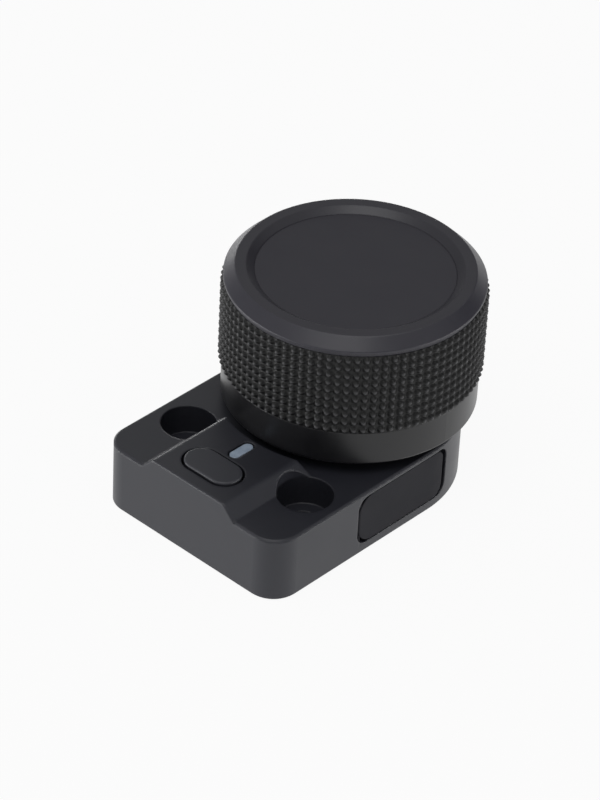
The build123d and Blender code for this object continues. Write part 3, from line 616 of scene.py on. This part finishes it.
print("half way out, a nub has", round(nub_rise(0.5, 0), 2), "of its height")

# %% The band as one closed mesh
TIP_RADIUS = 20 * MM
ROOT_RADIUS = TIP_RADIUS - NUB_HEIGHT
BAND_WALL = 1.2 * MM
BORE_RADIUS = ROOT_RADIUS - BAND_WALL

grip_low, grip_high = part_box("grip_ring")
grip_bottom, grip_top = grip_low[2], grip_high[2]
band = bmesh.new()
loops = []
steps_up = NUB_ROWS * STEPS_PER_NUB
steps_round = NUB_COLUMNS * STEPS_PER_NUB
for step in range(steps_round):
    angle = 2 * pi * step / steps_round
    outline = []
    for level in range(steps_up + 1):
        rise = nub_rise(cell_coordinate(step), cell_coordinate(level))
        height = grip_bottom + (grip_top - grip_bottom) * level / steps_up
        outline.append((ROOT_RADIUS + NUB_HEIGHT * rise, height))
    outline += [(BORE_RADIUS, grip_top), (BORE_RADIUS, grip_bottom)]
    loops.append([band.verts.new((r * cos(angle), r * sin(angle), z)) for r, z in outline])
for first, second in zip(loops, loops[1:] + loops[:1]):
    for index in range(len(first)):
        after = (index + 1) % len(first)
        corners = (first[index], second[index], second[after], first[after])
        band.faces.new(corners).smooth = True
print("band:", len(band.faces), "faces")


# %% The band as a piece of the wheel
def piece_of(shape, name):
    """A new object in the scene from a finished bmesh."""
    bmesh.ops.recalc_face_normals(shape, faces=shape.faces)
    mesh = bpy.data.meshes.new(name)
    shape.to_mesh(mesh)
    shape.free()
    piece = bpy.data.objects.new(name, mesh)
    scene.collection.objects.link(piece)
    return piece


knurled_grip = piece_of(band, "knurled_grip")
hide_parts("grip_ring")
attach(knurled_grip, "wheel")
print(knurled_grip.name, "stands for grip_ring")

# %% Painted highlight on the tips and painted shade in the pits: a mask from the distance to the wheel's axis
HIGHLIT_FROM_SHARE = 0.6

highlit_from = ROOT_RADIUS + HIGHLIT_FROM_SHARE * NUB_HEIGHT
highlit, highlit_in, highlit_out = new_group(
    "tip_highlight_pit_shade", (("Pit Radius", highlit_from), ("Tip Radius", TIP_RADIUS)), ("Mask",)
)
highlit_ramp = highlit.nodes.new("ShaderNodeMapRange")
highlit_ramp.interpolation_type = "SMOOTHSTEP"
highlit.links.new(axis_distance(highlit), highlit_ramp.inputs["Value"])
highlit.links.new(highlit_in.outputs["Pit Radius"], highlit_ramp.inputs["From Min"])
highlit.links.new(highlit_in.outputs["Tip Radius"], highlit_ramp.inputs["From Max"])
highlit.links.new(highlit_ramp.outputs["Result"], highlit_out.inputs["Mask"])
print("worn tips:", len(highlit.nodes), "nodes")

# %% Rubber for the grip, with a painted highlight on the tips and painted shade in the pits
finish(
    "grip_rubber", tint(11, 11, 12), tint(15, 15, 16), tint(67, 67, 69),
    roughness=(0.45, 0.52), bump=0.004 * MM, edge_group=highlit, Specular_IOR_Level=0.35,
)
knurled_grip.data.materials.append(finishes["grip_rubber"])
print(len(finishes), "finishes in all")

# %% [markdown]
# ## The disc in the rim
#
# A thin disc closes the top of the wheel. It is pressed into the rim, so its border shows
# as a change of slope and not as a dark gap. A cylinder primitive with a bevel modifier
# would do, but rings of points at named radii and heights say exactly where the small
# rounding of the border starts and ends.

# %% The disc as one closed mesh
BORDER_ROUNDING = 0.04 * MM
ARC_MIDDLE_SHARE = 0.3
PRESS_FIT = 0.045 * MM
DISC_STEPS = 240

disc_low, disc_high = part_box("top_plate")
disc_bottom, disc_top = disc_low[2], disc_high[2]
disc_radius = disc_high[0] + PRESS_FIT
arc_middle = ARC_MIDDLE_SHARE * BORDER_ROUNDING
disc_outline = (
    (disc_radius, disc_bottom),
    (disc_radius, disc_top - BORDER_ROUNDING),
    (disc_radius - arc_middle, disc_top - arc_middle),
    (disc_radius - BORDER_ROUNDING, disc_top),
)
disc_angles = [2 * pi * step / DISC_STEPS for step in range(DISC_STEPS)]
disc = bmesh.new()
rings = [
    [disc.verts.new((r * cos(angle), r * sin(angle), z)) for angle in disc_angles]
    for r, z in disc_outline
]
for lower, upper in zip(rings, rings[1:]):
    for step in range(DISC_STEPS):
        after = (step + 1) % DISC_STEPS
        disc.faces.new((lower[step], lower[after], upper[after], upper[step])).smooth = True
disc.faces.new(rings[0])
disc.faces.new(rings[-1])

top_disc = piece_of(disc, "top_disc")
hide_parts("top_plate")
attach(top_disc, "wheel")
top_disc.data.materials.append(finishes["plate_metal"])
print("top disc:", round(2 * disc_radius / MM, 2), "mm across")
